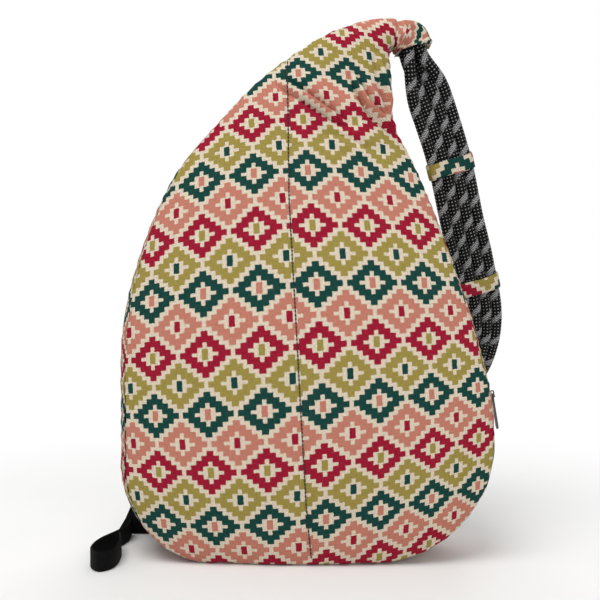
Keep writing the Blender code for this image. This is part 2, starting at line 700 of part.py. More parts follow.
def zip_parts(path, lean, surfaces):
    """Tape, chain, slider and pull of one zip; the slider turns about the side's arc centre."""
    tape_top = TAPE_STAND_OFF + TAPE_THICKNESS
    webbing, coil, metal = surfaces
    tape_ends = (path.start, path.end)
    arc_strip(f"zip_tape_{path.name}", path, TAPE_WIDTH, TAPE_STAND_OFF, tape_top, *tape_ends, webbing)
    chain_low = tape_top + ZIP_CLEARANCE
    chain_high = chain_low + CHAIN_HEIGHT
    inset = CHAIN_STOPS_SHORT / path.radius
    chain_ends = (path.start + inset, path.end - inset)
    arc_strip(f"zip_chain_{path.name}", path, CHAIN_WIDTH, chain_low, chain_high, *chain_ends, coil)
    angle = path.start + SLIDER_PLACE / path.radius
    place, way, across, out = path.frame(angle)
    turn = Matrix((way, out.cross(way), out)).transposed()
    at_slider = Matrix.Translation(place) @ turn.to_4x4()
    slider_low = tape_top + ZIP_CLEARANCE
    size = (SLIDER_LENGTH, SLIDER_WIDTH, SLIDER_HEIGHT)
    lifted = at_slider @ Matrix.Translation((0, 0, slider_low + SLIDER_HEIGHT / 2))
    slider = box(f"zip_slider_{path.name}", size, metal, lifted, bevel=0.0005)
    tunnel_height = CHAIN_HEIGHT + 3 * ZIP_CLEARANCE
    tunnel_size = (SLIDER_LENGTH * 2, SLIDER_WIDTH - 2 * SLIDER_WALL, tunnel_height * 2)
    at_tape = at_slider @ Matrix.Translation((0, 0, slider_low))
    tunnel = box(f"tunnel_{path.name}", tunnel_size, metal, at_tape)
    combine(slider, tunnel, "DIFFERENCE")
    top = slider_low + SLIDER_HEIGHT
    bridge_size = (BRIDGE_LENGTH, BRIDGE_WIDTH, BRIDGE_HEIGHT * 2)
    bridge = box(f"bridge_{path.name}", bridge_size, metal, at_slider @ Matrix.Translation((0, 0, top)))
    combine(slider, bridge, "UNION")
    gap_size = (BRIDGE_LENGTH - 2 * BRIDGE_WALL, BRIDGE_WIDTH * 2, BRIDGE_HEIGHT - BRIDGE_WALL)
    eye = Vector((0, 0, top + gap_size[2] / 2))
    gap_place = at_slider @ Matrix.Translation(eye)
    combine(slider, box(f"bridge_gap_{path.name}", gap_size, metal, gap_place), "DIFFERENCE")
    combine(slider, tunnel, "DIFFERENCE")
    half = PULL_WIDTH / 2
    hang = at_slider @ Matrix.Translation(eye) @ Matrix.Rotation(lean, 4, "Y")
    bar = PULL_THICKNESS / 2
    upper = (
        (bar, half * 0.8),
        (-PULL_LENGTH * 0.35, half * 0.8),
        (-PULL_LENGTH + half, half),
        (-PULL_LENGTH + half * 0.3, half * 0.7),
    )
    outline = [*upper, (-PULL_LENGTH, 0), *[(x, -y) for x, y in reversed(upper)]]
    pull = extruded(f"zip_pull_{path.name}", outline, PULL_THICKNESS, metal, hang)
    slot_size = (PULL_EYE_LENGTH, PULL_EYE_WIDTH, PULL_THICKNESS * 4)
    slot_place = hang @ Matrix.Translation((-bar - PULL_EYE_LENGTH / 2, 0, 0))
    combine(pull, box(f"eye_{path.name}", slot_size, metal, slot_place), "DIFFERENCE")
    hub = bpy.data.objects.new(f"travel_axis_{path.name}", None)
    hub.location = path.centre
    bpy.context.collection.objects.link(hub)
    bpy.context.view_layer.update()
    for piece in (slider, pull):
        piece.parent = hub
        piece.matrix_parent_inverse = hub.matrix_world.inverted()


def base_plate(ring, surface):
    """The flat bottom, a plate that fits inside the panels' lower edges and meets the floor."""
    rim = [section_point(ring, 4 * i / RING_POINTS) for i in range(RING_POINTS)]
    centre = sum(rim, Vector()) / len(rim)
    bm = bmesh.new()
    inset = CANVAS * 2 + SEAM_GAP
    inner = [centre + (point - centre) * (1 - inset / (point - centre).length) for point in rim]
    face = bm.faces.new([bm.verts.new(point) for point in inner])
    grown = bmesh.ops.extrude_face_region(bm, geom=[face])
    moved = [item for item in grown["geom"] if isinstance(item, bmesh.types.BMVert)]
    bmesh.ops.translate(bm, verts=moved, vec=(0, 0, BASE_THICKNESS))
    return object_from_bmesh("base_panel", bm, surface, smooth=False)


def sleeve(rings, surface):
    """The gathered end of the neck, a tube that opens downwards round the ropes."""
    bm = bmesh.new()
    loops = []
    shares = [4 * i / SLEEVE_POINTS for i in range(SLEEVE_POINTS)]
    order = [(ring, 0.0) for ring in rings] + [(ring, CANVAS) for ring in reversed(rings)]
    for ring, inset in order:
        left, right, depth, half, swell = ring
        lateral = (right - left).normalized()
        slim = (left + lateral * inset, right - lateral * inset, depth - inset, half - inset * 0.7, swell)
        loops.append([bm.verts.new(section_point(slim, share)) for share in shares])
    close_rows(bm, [*loops, loops[0]], cap=False)
    return object_from_bmesh("neck_sleeve", bm, surface)


def main():
    clear_scene()
    canvas = material("printed_canvas", (0.72, 0.55, 0.42), 0.9)
    lining = material("lining_cloth", (0.10, 0.10, 0.11), 0.85)
    braid = material("rope_braid", (0.07, 0.07, 0.075), 0.8)
    webbing = material("black_webbing", (0.012, 0.012, 0.013), 0.75)
    plastic = material("black_plastic", (0.02, 0.02, 0.022), 0.4)
    metal = material("black_zip_metal", (0.03, 0.03, 0.032), 0.35, 0.8)

    rings = sample_rings()
    mouth = len(rings) - 1 - NECK_RINGS // 2
    body_rings = rings[: mouth + 1]
    for index, (name, count) in enumerate(PANELS):
        shell(name, body_rings, index, count, canvas)
    base_plate(rings[0], canvas)
    left, right, *section = rings[0]
    lift = Vector((0, BASE_THICKNESS + LINING_GAP))
    core_rings = [(left + lift, right + lift, *section), *body_rings[2:-CORE_STOPS_SHORT]]
    closed_core("lining_sack", core_rings, lining)
    sleeve([between_rings(rings[mouth], rings[mouth + 1], SLEEVE_START), *rings[mouth + 1 :]], canvas)

    for index in range(ROPE_COUNT):
        rope(index, braid)
    for index, share in enumerate(KEEPER_PLACES):
        keeper(index, share, canvas)
    rope_binding(canvas)
    strap_webbing(webbing)
    buckle_plug(plastic)
    buckle_socket(plastic)
    anchor_webbing(webbing)
    anchor_tab(webbing)
    webbing_tail(webbing)

    left_arc = (LEFT_ARC_CENTRE, LEFT_ARC_RADIUS)
    left_path = ZipPath("left", *left_arc, -1, LEFT_ZIP_DEPTH, GUSSET_CROWN_LEFT, *LEFT_ZIP_ANGLES)
    right_arc = (right_side_centre(), RIGHT_SIDE_RADIUS)
    right_path = ZipPath("right", *right_arc, 1, RIGHT_ZIP_DEPTH, GUSSET_CROWN_RIGHT, *RIGHT_ZIP_ANGLES)
    zip_parts(left_path, 0.0, (webbing, plastic, metal))
    zip_parts(right_path, RIGHT_PULL_LEAN, (webbing, plastic, metal))


main()
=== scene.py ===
"""Looks of the rope sling bag: printed canvas, braided ropes, webbing, zips and buckle."""

import math

import bmesh
import bpy
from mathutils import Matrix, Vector, noise
from mathutils.bvhtree import BVHTree


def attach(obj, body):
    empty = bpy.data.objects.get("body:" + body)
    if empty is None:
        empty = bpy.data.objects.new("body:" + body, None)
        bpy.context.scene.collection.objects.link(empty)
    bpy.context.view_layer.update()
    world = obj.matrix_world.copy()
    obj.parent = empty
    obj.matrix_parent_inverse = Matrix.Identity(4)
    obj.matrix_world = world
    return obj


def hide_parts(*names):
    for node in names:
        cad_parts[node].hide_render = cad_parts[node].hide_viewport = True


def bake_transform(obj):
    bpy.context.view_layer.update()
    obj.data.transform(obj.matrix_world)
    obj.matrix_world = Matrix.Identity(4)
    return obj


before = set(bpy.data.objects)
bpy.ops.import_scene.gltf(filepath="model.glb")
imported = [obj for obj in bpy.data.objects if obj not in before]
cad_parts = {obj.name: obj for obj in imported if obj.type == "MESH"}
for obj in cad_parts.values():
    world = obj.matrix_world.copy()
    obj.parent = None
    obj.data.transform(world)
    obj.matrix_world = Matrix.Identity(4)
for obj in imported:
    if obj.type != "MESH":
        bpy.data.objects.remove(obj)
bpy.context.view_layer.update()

# Camera: straight in front of the bag, at about half its height, aimed a little down and to the left.
# The photograph's frame is 600 by 600, and its floor lines meet at the vanishing point.
IMAGE_SIZE = 600
FOCAL_PIXELS = 875.0
VANISHING = (316.0, 284.0)
CAMERA_PLACE = (0.0072, -0.700, 0.214)
SENSOR = 36.0

camera_data = bpy.data.cameras.new("camera")
camera_data.sensor_width = SENSOR
camera_data.lens = FOCAL_PIXELS / IMAGE_SIZE * SENSOR
camera = bpy.data.objects.new("camera", camera_data)
bpy.context.collection.objects.link(camera)
aim_down = math.atan((IMAGE_SIZE / 2 - VANISHING[1]) / FOCAL_PIXELS)
aim_left = math.atan((VANISHING[0] - IMAGE_SIZE / 2) / FOCAL_PIXELS)
camera.location = CAMERA_PLACE
camera.rotation_euler = (math.pi / 2 - aim_down, 0, aim_left)
bpy.context.scene.camera = camera


# Floor and soft studio light: a pale floor that the camera sees as white, and three large lamps.
def deselect():
    if bpy.context.object and bpy.context.object.mode != "OBJECT":
        bpy.ops.object.mode_set(mode="OBJECT")
    bpy.ops.object.select_all(action="DESELECT")


def only(piece):
    deselect()
    piece.select_set(True)
    bpy.context.view_layer.objects.active = piece


class Graph:
    """A material's nodes, written as expressions."""

    def __init__(self, name):
        self.material = bpy.data.materials.new(name)
        self.material.use_nodes = True
        self.nodes = self.material.node_tree.nodes
        self.links = self.material.node_tree.links
        self.shader = self.nodes["Principled BSDF"]

    def put(self, socket, value):
        if isinstance(value, bpy.types.NodeSocket):
            self.links.new(value, socket)
        else:
            socket.default_value = value

    def math(self, operation, *values):
        node = self.nodes.new("ShaderNodeMath")
        node.operation = operation
        for socket, value in zip(node.inputs, values):
            self.put(socket, value)
        return node.outputs[0]

    def plus(self, *values):
        return self.math("ADD", *values)

    def minus(self, *values):
        return self.math("SUBTRACT", *values)

    def times(self, *values):
        return self.math("MULTIPLY", *values)

    def over(self, *values):
        return self.math("DIVIDE", *values)

    def wave(self, value):
        return self.math("SINE", value)

    def mix(self, share, a, b, kind="MIX"):
        node = self.nodes.new("ShaderNodeMix")
        node.data_type = "RGBA"
        node.blend_type = kind
        self.put(node.inputs["Factor"], share)
        self.put(node.inputs["A"], a)
        self.put(node.inputs["B"], b)
        return node.outputs["Result"]

    def coordinates(self, which):
        return self.nodes.new("ShaderNodeTexCoord").outputs[which]

    def split(self, vector):
        node = self.nodes.new("ShaderNodeSeparateXYZ")
        self.put(node.inputs[0], vector)
        return node.outputs

    def vector(self, x, y, z):
        node = self.nodes.new("ShaderNodeCombineXYZ")
        for socket, value in zip(node.inputs, (x, y, z)):
            self.put(socket, value)
        return node.outputs[0]

    def noise(self, vector, scale, detail=2.0, roughness=0.5):
        node = self.nodes.new("ShaderNodeTexNoise")
        self.put(node.inputs["Vector"], vector)
        node.inputs["Scale"].default_value = scale
        node.inputs["Detail"].default_value = detail
        node.inputs["Roughness"].default_value = roughness
        return node.outputs["Fac"]

    def ramp(self, value, stops, constant=False):
        node = self.nodes.new("ShaderNodeValToRGB")
        self.put(node.inputs[0], value)
        bar = node.color_ramp
        if constant:
            bar.interpolation = "CONSTANT"
        while len(bar.elements) < len(stops):
            bar.elements.new(1.0)
        for element, (place, colour) in zip(bar.elements, stops):
            element.position = place
            element.color = (*colour, 1.0) if len(colour) == 3 else colour
        return node.outputs["Color"]

    def bump(self, height, distance, strength=1.0):
        node = self.nodes.new("ShaderNodeBump")
        node.inputs["Distance"].default_value = distance
        node.inputs["Strength"].default_value = strength
        self.put(node.inputs["Height"], height)
        self.links.new(node.outputs[0], self.shader.inputs["Normal"])

    def finish(self, colour, roughness, **constants):
        self.put(self.shader.inputs["Base Color"], colour)
        self.put(self.shader.inputs["Roughness"], roughness)
        for name, value in constants.items():
            self.shader.inputs[name.replace("_", " ")].default_value = value
        return self.material


FLOOR_COLOUR = (0.86, 0.86, 0.855, 1)
FLOOR_SHADE = (0.82, 0.82, 0.815, 1)
FLOOR_REACH = 8.0
# The floor keeps the bag's shadow out to the first distance and is plain white to the camera past the second
SHADOW_REACH = (0.22, 0.62)


def floor_material():
    graph = Graph("pale_floor")
    place = graph.coordinates("Object")
    speck = graph.noise(place, 9.0, 4.0)
    graph.finish(graph.mix(speck, FLOOR_COLOUR, FLOOR_SHADE), 0.85)
    far = graph.nodes.new("ShaderNodeVectorMath")
    far.operation = "LENGTH"
    graph.put(far.inputs[0], place)
    fade = graph.nodes.new("ShaderNodeMapRange")
    fade.interpolation_type = "SMOOTHSTEP"
    graph.put(fade.inputs["Value"], far.outputs["Value"])
    graph.put(fade.inputs["From Min"], SHADOW_REACH[0])
    graph.put(fade.inputs["From Max"], SHADOW_REACH[1])
    rays = graph.nodes.new("ShaderNodeLightPath")
    seen = graph.math("MAXIMUM", rays.outputs["Is Camera Ray"], rays.outputs["Is Glossy Ray"])
    seen = graph.math("MAXIMUM", seen, rays.outputs["Is Transmission Ray"])
    white = graph.nodes.new("ShaderNodeEmission")
    blended = graph.nodes.new("ShaderNodeMixShader")
    graph.put(blended.inputs[0], graph.times(seen, fade.outputs["Result"]))
    graph.links.new(graph.shader.outputs[0], blended.inputs[1])
    graph.links.new(white.outputs[0], blended.inputs[2])
    graph.links.new(blended.outputs[0], graph.nodes["Material Output"].inputs["Surface"])
    return graph.material


deselect()
bpy.ops.mesh.primitive_plane_add(size=FLOOR_REACH)
floor = bpy.context.object
floor.name = "floor"
floor.data.materials.append(floor_material())


def lamp(name, place, aim, size, power):
    data = bpy.data.lights.new(name, "AREA")
    data.shape = "DISK"
    data.size = size
    data.energy = power
    made = bpy.data.objects.new(name, data)
    bpy.context.collection.objects.link(made)
    made.location = place
    made.rotation_euler = (Vector(aim) - Vector(place)).to_track_quat("-Z", "Y").to_euler()


lamp("key_above", (-0.35, -0.75, 1.60), (0, 0, 0.2), 1.1, 19.0)
lamp("fill_front", (0.55, -1.70, 0.70), (0, 0, 0.2), 1.4, 9.0)
lamp("rim_behind", (0.30, 1.20, 1.30), (0, 0, 0.2), 1.2, 9.0)
world = bpy.data.worlds.new("studio")
bpy.context.scene.world = world
world.use_nodes = True
air = world.node_tree.nodes["Background"]
path = world.node_tree.nodes.new("ShaderNodeLightPath")
seen = world.node_tree.nodes.new("ShaderNodeMath")
seen.operation = "MAXIMUM"
world.node_tree.links.new(path.outputs["Is Camera Ray"], seen.inputs[0])
world.node_tree.links.new(path.outputs["Is Glossy Ray"], seen.inputs[1])
through = world.node_tree.nodes.new("ShaderNodeMath")
through.operation = "MAXIMUM"
world.node_tree.links.new(seen.outputs[0], through.inputs[0])
world.node_tree.links.new(path.outputs["Is Transmission Ray"], through.inputs[1])
strength = world.node_tree.nodes.new("ShaderNodeMapRange")
strength.inputs["To Min"].default_value = 0.42
strength.inputs["To Max"].default_value = 1.0
world.node_tree.links.new(through.outputs[0], strength.inputs["Value"])
world.node_tree.links.new(strength.outputs["Result"], air.inputs["Strength"])
air.inputs["Color"].default_value = (1.0, 1.0, 1.0, 1.0)
bpy.context.scene.view_settings.view_transform = "Standard"


# Printed canvas: plain weave, screen printed with stepped diamonds in four colours on cream.
# UV holds the cloth's own coordinates in print units; a diamond is nine units across.
CREAM = (0.830, 0.730, 0.590)
OLIVE = (0.385, 0.310, 0.070)
TEAL = (0.001, 0.057, 0.049)
SALMON = (0.625, 0.235, 0.172)
CRIMSON = (0.370, 0.004, 0.032)
ROW_COLOURS = (OLIVE, TEAL, SALMON, CRIMSON)
COLUMN_PITCH = 10.0
ROW_REPEAT = 12.0
INK_WANDER = 0.30
INK_SPREAD = 0.13
THREADS_PER_UNIT = 5.0


def canvas_material(name):
    graph = Graph(name)
    uv = graph.coordinates("UV")
    across, down, _ = graph.split(uv)
    wander = graph.noise(uv, 2.6, 2.0)
    stray = graph.noise(graph.vector(down, across, 3.0), 2.6, 2.0)
    u = graph.plus(across, graph.times(graph.minus(wander, 0.5), INK_WANDER))
    v = graph.plus(down, graph.times(graph.minus(stray, 0.5), INK_WANDER))

    def lattice(shift_u, shift_v, first_row):
        local_u = graph.minus(u, shift_u)
        local_v = graph.minus(v, shift_v)
        column = graph.math("ROUND", graph.over(local_u, COLUMN_PITCH))
        row = graph.math("ROUND", graph.over(local_v, ROW_REPEAT))
        off_u = graph.math("ABSOLUTE", graph.minus(local_u, graph.times(column, COLUMN_PITCH)))
        off_v = graph.math("ABSOLUTE", graph.minus(local_v, graph.times(row, ROW_REPEAT)))
        outer = [graph.math("ROUND", graph.minus(off, INK_SPREAD)) for off in (off_u, off_v)]
        inner = [graph.math("ROUND", graph.plus(off, INK_SPREAD)) for off in (off_u, off_v)]
        inside = graph.math("LESS_THAN", graph.plus(*outer), 4.5)
        ring = graph.times(inside, graph.math("GREATER_THAN", graph.plus(*inner), 2.5))
        heart = graph.times(graph.math("LESS_THAN", off_u, 0.55), graph.math("LESS_THAN", off_v, 1.1))
        number = graph.plus(graph.times(row, 2.0), float(first_row))
        turn = graph.over(graph.math("FLOORED_MODULO", number, 4.0), 4.0)
        return ring, heart, turn

    colour = (*CREAM, 1.0)
    inked = 0.0
    for shift_u, shift_v, first_row in ((0.0, 0.0, 0), (5.0, 6.0, 1)):
        ring, heart, turn = lattice(shift_u, shift_v, first_row)
        stops = [(max(0.0, index / 4 - 0.1), ink) for index, ink in enumerate(ROW_COLOURS)]
        ring_ink = graph.ramp(turn, stops, constant=True)
        heart_stops = [(max(0.0, index / 4 - 0.1), ROW_COLOURS[(index + 1) % 4]) for index in range(4)]
        heart_ink = graph.ramp(turn, heart_stops, constant=True)
        colour = graph.mix(ring, colour, ring_ink)
        colour = graph.mix(heart, colour, heart_ink)
        inked = graph.plus(inked, graph.plus(ring, heart))
    thread_u = graph.wave(graph.times(across, math.pi * THREADS_PER_UNIT))
    thread_v = graph.wave(graph.times(down, math.pi * THREADS_PER_UNIT))
    weave = graph.times(thread_u, thread_v)
    slub = graph.noise(graph.vector(graph.times(across, 0.35), down, 0.0), 9.0, 3.0, 0.7)
    bare = graph.noise(uv, 7.5, 3.0, 0.75)
    worn = graph.times(graph.math("GREATER_THAN", bare, 0.60), 0.14)
    speck = graph.noise(uv, 3.6, 3.0, 0.85)
    colour = graph.mix(graph.times(worn, inked), colour, (*CREAM, 1.0))
    tone = graph.ramp(slub, ((0.28, (0.74, 0.72, 0.69)), (0.64, (1.06, 1.06, 1.06))))
    colour = graph.mix(1.0, colour, tone, "MULTIPLY")
    grain = graph.ramp(speck, ((0.36, (0.68, 0.67, 0.65)), (0.60, (1.10, 1.10, 1.10))))
    colour = graph.mix(1.0, colour, grain, "MULTIPLY")
    # Painted shade: the weave's low places between the threads are painted darker, where the shade of the
    # relief would fall.
    painted_weave_shade = graph.ramp(weave, ((0.0, (0.72, 0.71, 0.69)), (0.35, (1.0, 1.0, 1.0))))
    colour = graph.mix(0.8, colour, painted_weave_shade, "MULTIPLY")
    height = graph.plus(weave, graph.times(slub, 1.2))
    graph.bump(height, 0.00018, 0.75)
    rough = graph.plus(0.84, graph.times(slub, 0.12))
    return graph.finish(colour, rough, Specular_IOR_Level=0.12)


canvas = canvas_material("printed_canvas")


# Body panels: the front, the back and the two gussets, cut from one printed canvas and sewn to a teardrop.
# Each is smoothed from its solid, then takes the cloth's folds; its UV follows the print over the bag.
UNIT = 0.0040
# The middle of the front, and the half size over which the cloth's stretch is measured
HALF_SPAN = 0.15
HALF_RISE = 0.2
PRINT_MIDDLE = 0.2
# The print at that middle in print units, a unit's size across and down, and how far the cloth leans
PRINT_ORIGIN = (3.0, 57.6)
UNIT_ACROSS = 0.0043
UNIT_DOWN = 0.0038
PRINT_LEAN = math.radians(3.4)
# The cloth takes up more of its length towards the edges, and more still down the sides
EDGE_STRETCH = 0.10
SIDE_STRETCH = 0.08
# How far, in print units, the rows and columns bow and fan out by the edge
COLUMN_BOW = 1.3
COLUMN_FAN = 1.8
ROW_BOW = 2.2
ROW_FAN = 3.3
# Creases of the neck, seen from the front: ends, width, and depth (below zero for a ridge)
CREASES = (
    ((-0.0150, 0.3660), (0.0280, 0.3370), 0.0036, 0.0100),
    ((-0.0120, 0.3570), (0.0210, 0.3330), 0.0060, -0.0030),
    ((-0.0040, 0.3730), (0.0280, 0.3480), 0.0065, -0.0038),
    ((0.0370, 0.3700), (0.0500, 0.3440), 0.0034, 0.0110),
    ((0.0490, 0.3490), (0.0660, 0.3340), 0.0032, 0.0110),
    ((0.0290, 0.3640), (0.0460, 0.3390), 0.0055, -0.0036),
    ((0.0450, 0.3700), (0.0600, 0.3440), 0.0042, -0.0042),
    ((0.0560, 0.3860), (0.0640, 0.3480), 0.0032, 0.0080),
    ((0.0260, 0.3350), (0.0520, 0.3220), 0.0070, -0.0036),
    ((0.0180, 0.3270), (0.0520, 0.3120), 0.0075, 0.0034),
)
# The stitch line's places across and up, from the neck seam down to the base
STITCH_ROUTE = ((-0.0150, 0.3900), (-0.0132, 0.2800), (-0.0065, 0.1650), (0.0000, 0.0480), (0.0040, 0.0040))
SEAM_DIP = 0.0006
SOFTNESS = 0.0010
PUCKER = 0.0006
# The cloth hangs a little inside the shoulder's arc and spreads a little over the lower corners
SHOULDER_CENTRE = (0.160, 0.1417)
SHOULDER_RADIUS = 0.3085
SHOULDER_RISE = (0.300, 0.352)
SHOULDER_DROP = 0.0042
SHOULDER_BAND = 0.050
CORNERS = ((-0.0645, 0.084, -1, 0.084, 0.0058), (0.0440, 0.104, 1, 0.104, 0.0044))


def print_place(x, z):
    """The print's own place at a point of the front: turned with the cloth, then stretched over the swell."""
    up = z - PRINT_MIDDLE
    share_x, share_z = x / HALF_SPAN, up / HALF_RISE
    far = share_x**2 + share_z**2
    stretch = 1 + EDGE_STRETCH * far
    across = (x + PRINT_LEAN * up) * stretch / UNIT_ACROSS
    rise = (up - PRINT_LEAN * x) * (stretch + SIDE_STRETCH * share_x**2) / UNIT_DOWN
    u = PRINT_ORIGIN[0] + across + COLUMN_FAN * share_x * share_z + COLUMN_BOW * far
    v = PRINT_ORIGIN[1] - rise - ROW_FAN * share_x * share_z - ROW_BOW * far
    return u, v


def settled(place):
    """Where a point of the bag lies once the cloth has sagged from its shoulder and spread at its corners."""
    x, z = place.x, place.z
    run = Vector((x - SHOULDER_CENTRE[0], z - SHOULDER_CENTRE[1]))
    low, high = SHOULDER_RISE
    rise = min(1.0, max(0.0, (z - low) / (high - low)))
    inside = max(0.0, 1 - (SHOULDER_RADIUS - run.length) / SHOULDER_BAND)
    drop = SHOULDER_DROP * rise * rise * (3 - 2 * rise) * min(1.0, inside)
    shift = -run.normalized() * drop
    for centre_x, centre_z, side, radius, spread in CORNERS:
        reach_x, reach_z = (x - centre_x) * side, centre_z - z
        if reach_x > 0 and reach_z > 0:
            turn = math.atan2(reach_z, reach_x)
            push = spread * math.sin(2 * turn) ** 0.8 * min(1.0, math.hypot(reach_x, reach_z) / radius) ** 3
            shift += Vector((side * math.cos(turn), -math.sin(turn))) * push
    return Vector((x + shift.x, place.y, max(0.0, z + shift.y)))


def swell(distance, width):
    return math.exp(-((distance / width) ** 2))


def crease_depth(x, z):
    """How far the neck's creases push the cloth in at one place."""
    depth = 0.0
    for start, end, width, amount in CREASES:
        run = Vector(end) - Vector(start)
        offset = Vector((x, z)) - Vector(start)
        t = offset.dot(run) / run.length_squared
        if -0.35 < t < 1.35:
            side = abs(run.x * offset.y - run.y * offset.x) / run.length
            fade = math.sin(math.pi * (t + 0.35) / 1.7) ** 1.5
            depth += amount * fade * swell(side, width)
    return depth


def stitch_x(z):
    for (x_high, high), (x_low, low) in zip(STITCH_ROUTE, STITCH_ROUTE[1:]):
        if z >= low:
            return x_low + (x_high - x_low) * (z - low) / (high - low)
    return STITCH_ROUTE[-1][0]


def drape(panel, is_front):
    """Soft swells, the puckers along the seams, and on the front the neck's creases and the stitched dip."""
    normals = [vertex.normal.copy() for vertex in panel.data.vertices]
    for vertex, normal in zip(panel.data.vertices, normals):
        place = vertex.co.copy()
        soft = noise.noise(place * 14.0) * SOFTNESS + noise.noise(place * 38.0) * SOFTNESS * 0.4
        edge = (1 - abs(normal.y)) ** 2
        pucker = math.sin(place.z * math.tau / 0.0085 + 3 * noise.noise(place * 30)) * PUCKER * edge
        shift = soft + pucker
        if is_front:
            shift -= crease_depth(place.x, place.z)
            shift -= SEAM_DIP * swell(place.x - stitch_x(place.z), 0.0022)
        low = min(1.0, max(0.0, place.z / 0.012))
        vertex.co = place + normal * shift * low


def cloth_uv(panel, node):
    layer = panel.data.uv_layers.new(name="cloth")
    for loop in panel.data.loops:
        place = panel.data.vertices[loop.vertex_index].co
        u, v = print_place(place.x, place.z)
        if node == "back_panel":
            u = -u
        elif node == "side_band_left":
            u -= (place.y + 0.040) / UNIT
        elif node == "side_band_right":
            u += (place.y + 0.040) / UNIT
        layer.data[loop.index].uv = (u, v)


def copied(node):
    """A piece with a CAD node's mesh, its loose triangles merged."""
    mesh = bpy.data.meshes.new(f"{node}_look")
    bm = bmesh.new()
    bm.from_mesh(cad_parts[node].data)
    bmesh.ops.remove_doubles(bm, verts=bm.verts, dist=0.00002)
    bmesh.ops.join_triangles(
        bm, faces=bm.faces, angle_face_threshold=math.radians(35), angle_shape_threshold=math.radians(50)
    )
    bm.to_mesh(mesh)
    bm.free()
    piece = bpy.data.objects.new(f"{node}_look", mesh)
    bpy.context.collection.objects.link(piece)
    return piece


def subdivided(piece, levels):
    only(piece)
    step = piece.modifiers.new("Fine", "SUBSURF")
    step.levels = levels
    step.render_levels = levels
    bpy.ops.object.modifier_apply(modifier=step.name)
    bpy.ops.object.shade_smooth()


def dressed(piece, node, material, body="bag"):
    """A new piece that stands for a node: its material, body and the node that it hides."""
    piece.data.materials.clear()
    piece.data.materials.append(material)
    if body:
        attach(piece, body)
    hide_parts(node)


PANELS = ("front_panel", "back_panel", "side_band_left", "side_band_right")
panel_pieces = {}
for node in PANELS:
    panel = copied(node)
    subdivided(panel, 3 if node == "front_panel" else 2)
    for vertex in panel.data.vertices:
        vertex.co = settled(vertex.co)
    cloth_uv(panel, node)
    drape(panel, node == "front_panel")
    dressed(panel, node, canvas)
    panel_pieces[node] = panel


# Stitch line: one plain line of black thread down the front, worked through the canvas, neck to base.
# Each stitch is a short thread that sinks into the cloth at both ends.
STITCH_PITCH = 0.0030
STITCH_SHARE = 0.80
THREAD_RADIUS = 0.00056
THREAD_SIDES = 6
STITCH_RINGS = 5


def thread_material(name, colour):
    graph = Graph(name)
    place = graph.coordinates("Object")
    fuzz = graph.noise(place, 2600.0, 3.0, 0.7)
    twist = graph.noise(place, 900.0, 1.0)
    shade = tuple(min(1.0, 2.4 * value + 0.01) for value in colour)
    graph.bump(graph.plus(fuzz, twist), 0.0002, 0.6)
    mixed = graph.mix(fuzz, (*colour, 1), (*shade, 1))
    return graph.finish(mixed, graph.plus(0.62, graph.times(fuzz, 0.25)))


def surface_tree(piece):
    corners = [vertex.co for vertex in piece.data.vertices]
    return BVHTree.FromPolygons(corners, [tuple(face.vertices) for face in piece.data.polygons])


def new_piece(name, bm):
    bmesh.ops.recalc_face_normals(bm, faces=bm.faces)
    mesh = bpy.data.meshes.new(name)
    bm.to_mesh(mesh)
    bm.free()
    mesh.shade_smooth()
    piece = bpy.data.objects.new(name, mesh)
    bpy.context.collection.objects.link(piece)
    return piece


def thread(bm, points, radius):
    """A thread with closed ends through a few points; its rings taper at both ends."""
    last = len(points) - 1
    rings = []
    for i, point in enumerate(points):
        way = (points[min(last, i + 1)] - points[max(0, i - 1)]).normalized()
        side = way.orthogonal().normalized()
        over = way.cross(side)
        size = radius * (0.55 if i in (0, last) else 1.0)
        turns = [math.tau * k / THREAD_SIDES for k in range(THREAD_SIDES)]
        rings.append([bm.verts.new(point + (side * math.cos(a) + over * math.sin(a)) * size) for a in turns])
    for low, high in zip(rings, rings[1:]):
        for k in range(THREAD_SIDES):
            j = (k + 1) % THREAD_SIDES
            bm.faces.new((low[k], low[j], high[j], high[k]))
    bm.faces.new(rings[0])
    bm.faces.new(rings[-1])


def stitched(name, tree, route, pitch, share, lift):
    """Stitches along a route of points and directions in which each is laid on the cloth below."""
    bm = bmesh.new()
    lengths = [0.0]
    for (a, _), (b, _) in zip(route, route[1:]):
        lengths.append(lengths[-1] + (b - a).length)
    for i in range(int(lengths[-1] / pitch)):
        points = []
        for ring in range(STITCH_RINGS):
            t = ring / (STITCH_RINGS - 1)
            target = (i + share * t) * pitch
            index = 0
            while index < len(lengths) - 2 and lengths[index + 1] < target:
                index += 1
            part = (target - lengths[index]) / max(1e-9, lengths[index + 1] - lengths[index])
            start = route[index][0].lerp(route[index + 1][0], part)
            found, normal, _, _ = tree.ray_cast(start, route[index][1])
            if found is None:
                continue
            if normal.dot(route[index][1]) > 0:
                normal = -normal
            points.append(found + normal * (lift + THREAD_RADIUS * (0.9 * math.sin(math.pi * t) - 0.35)))
        if len(points) == STITCH_RINGS:
            thread(bm, points, THREAD_RADIUS)
    return new_piece(name, bm)


front_tree = surface_tree(panel_pieces["front_panel"])
route_steps = 200
top, bottom = STITCH_ROUTE[0][1], STITCH_ROUTE[-1][1]
heights = [top + (bottom - top) * i / route_steps for i in range(route_steps + 1)]
route = [(Vector((stitch_x(z), -0.3, z)), Vector((0, 1, 0))) for z in heights]
stitching = stitched("front_stitching", front_tree, route, STITCH_PITCH, STITCH_SHARE, 0.0002)
stitching.data.materials.append(thread_material("black_thread", (0.003, 0.003, 0.0035)))
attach(stitching, "bag")


